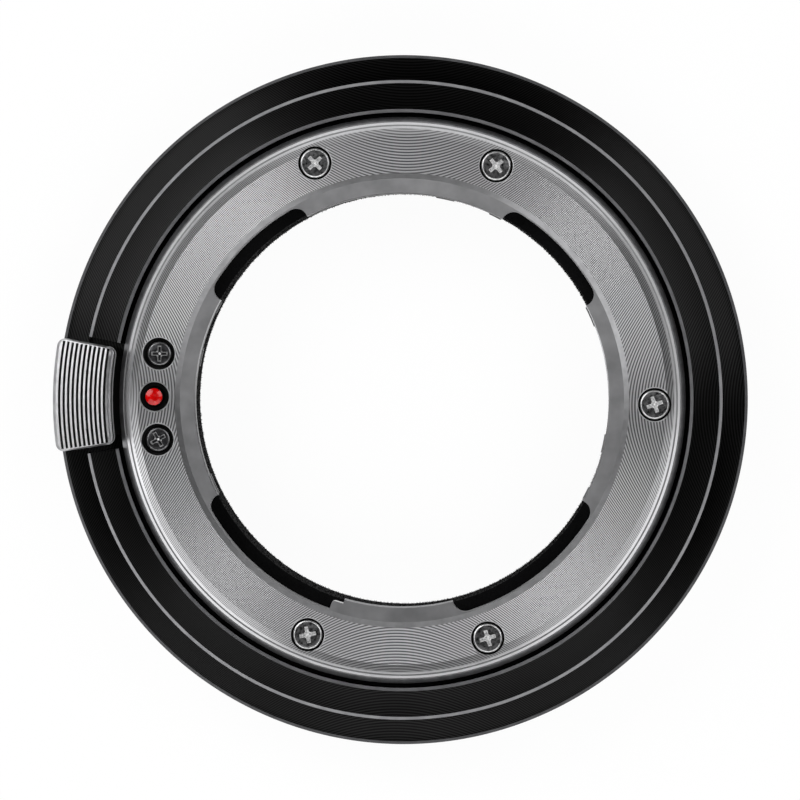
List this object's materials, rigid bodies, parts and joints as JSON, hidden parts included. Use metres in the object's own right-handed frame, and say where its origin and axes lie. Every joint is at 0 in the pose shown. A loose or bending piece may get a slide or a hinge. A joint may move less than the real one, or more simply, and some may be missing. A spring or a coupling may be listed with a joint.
{
  "type": "lens mount adapter",
  "caption": "Flat ring that carries a bayonet lens on a camera, with a tabbed lens flange, sprung lock pin, ribbed release grip and a lugged camera bayonet behind.",
  "frame": {"origin": "on the optical axis, in the plane of the camera seat", "axes": "+Z along the optical axis towards the lens; the release grip is on the -X side"},
  "size_m": [0.0689, 0.0686, 0.0142],
  "materials": {
    "black_anodised": "turned and black anodised, with bare cut edges",
    "turned_chrome": "brass, turned and chrome plated",
    "grip_chrome": "brass, ribbed and chrome plated",
    "bright_screw": "nickel-plated steel",
    "dark_screw": "dark nickel on steel",
    "black_steel": "blackened steel",
    "pin_steel": "turned steel",
    "spring_steel": "spring steel",
    "red_enamel": "glossy enamel",
    "black_flock": "short black flock"
  },
  "bodies": {
    "adapter": {"body": "black_anodised", "lens_flange": "turned_chrome", "flange_screws": "bright_screw", "guide_screws": "dark_screw", "guide_sleeves": "spring_steel", "pin_bush": "black_steel", "lock_spring": "spring_steel", "leaf_spring_right": "spring_steel", "leaf_spring_top": "spring_steel", "leaf_spring_left": "spring_steel", "flocked_liner": "black_flock", "rear_bayonet": "turned_chrome", "rear_screws": "bright_screw", "index_bead": "red_enamel"},
    "release": {"release_arm": "black_steel", "release_grip": "grip_chrome", "grip_screws": "dark_screw", "lens_lock_pin": "pin_steel", "pin_index_enamel": "red_enamel"}
  },
  "joints": [
    {"name": "release_slide", "type": "slide", "parent": "adapter", "child": "release", "axis": [0, 0, -1], "range_m": [0, 0.0013], "stiffness_N_per_m": 600, "springref_m": -0.002, "deforming": ["lock_spring"]}
  ]
}
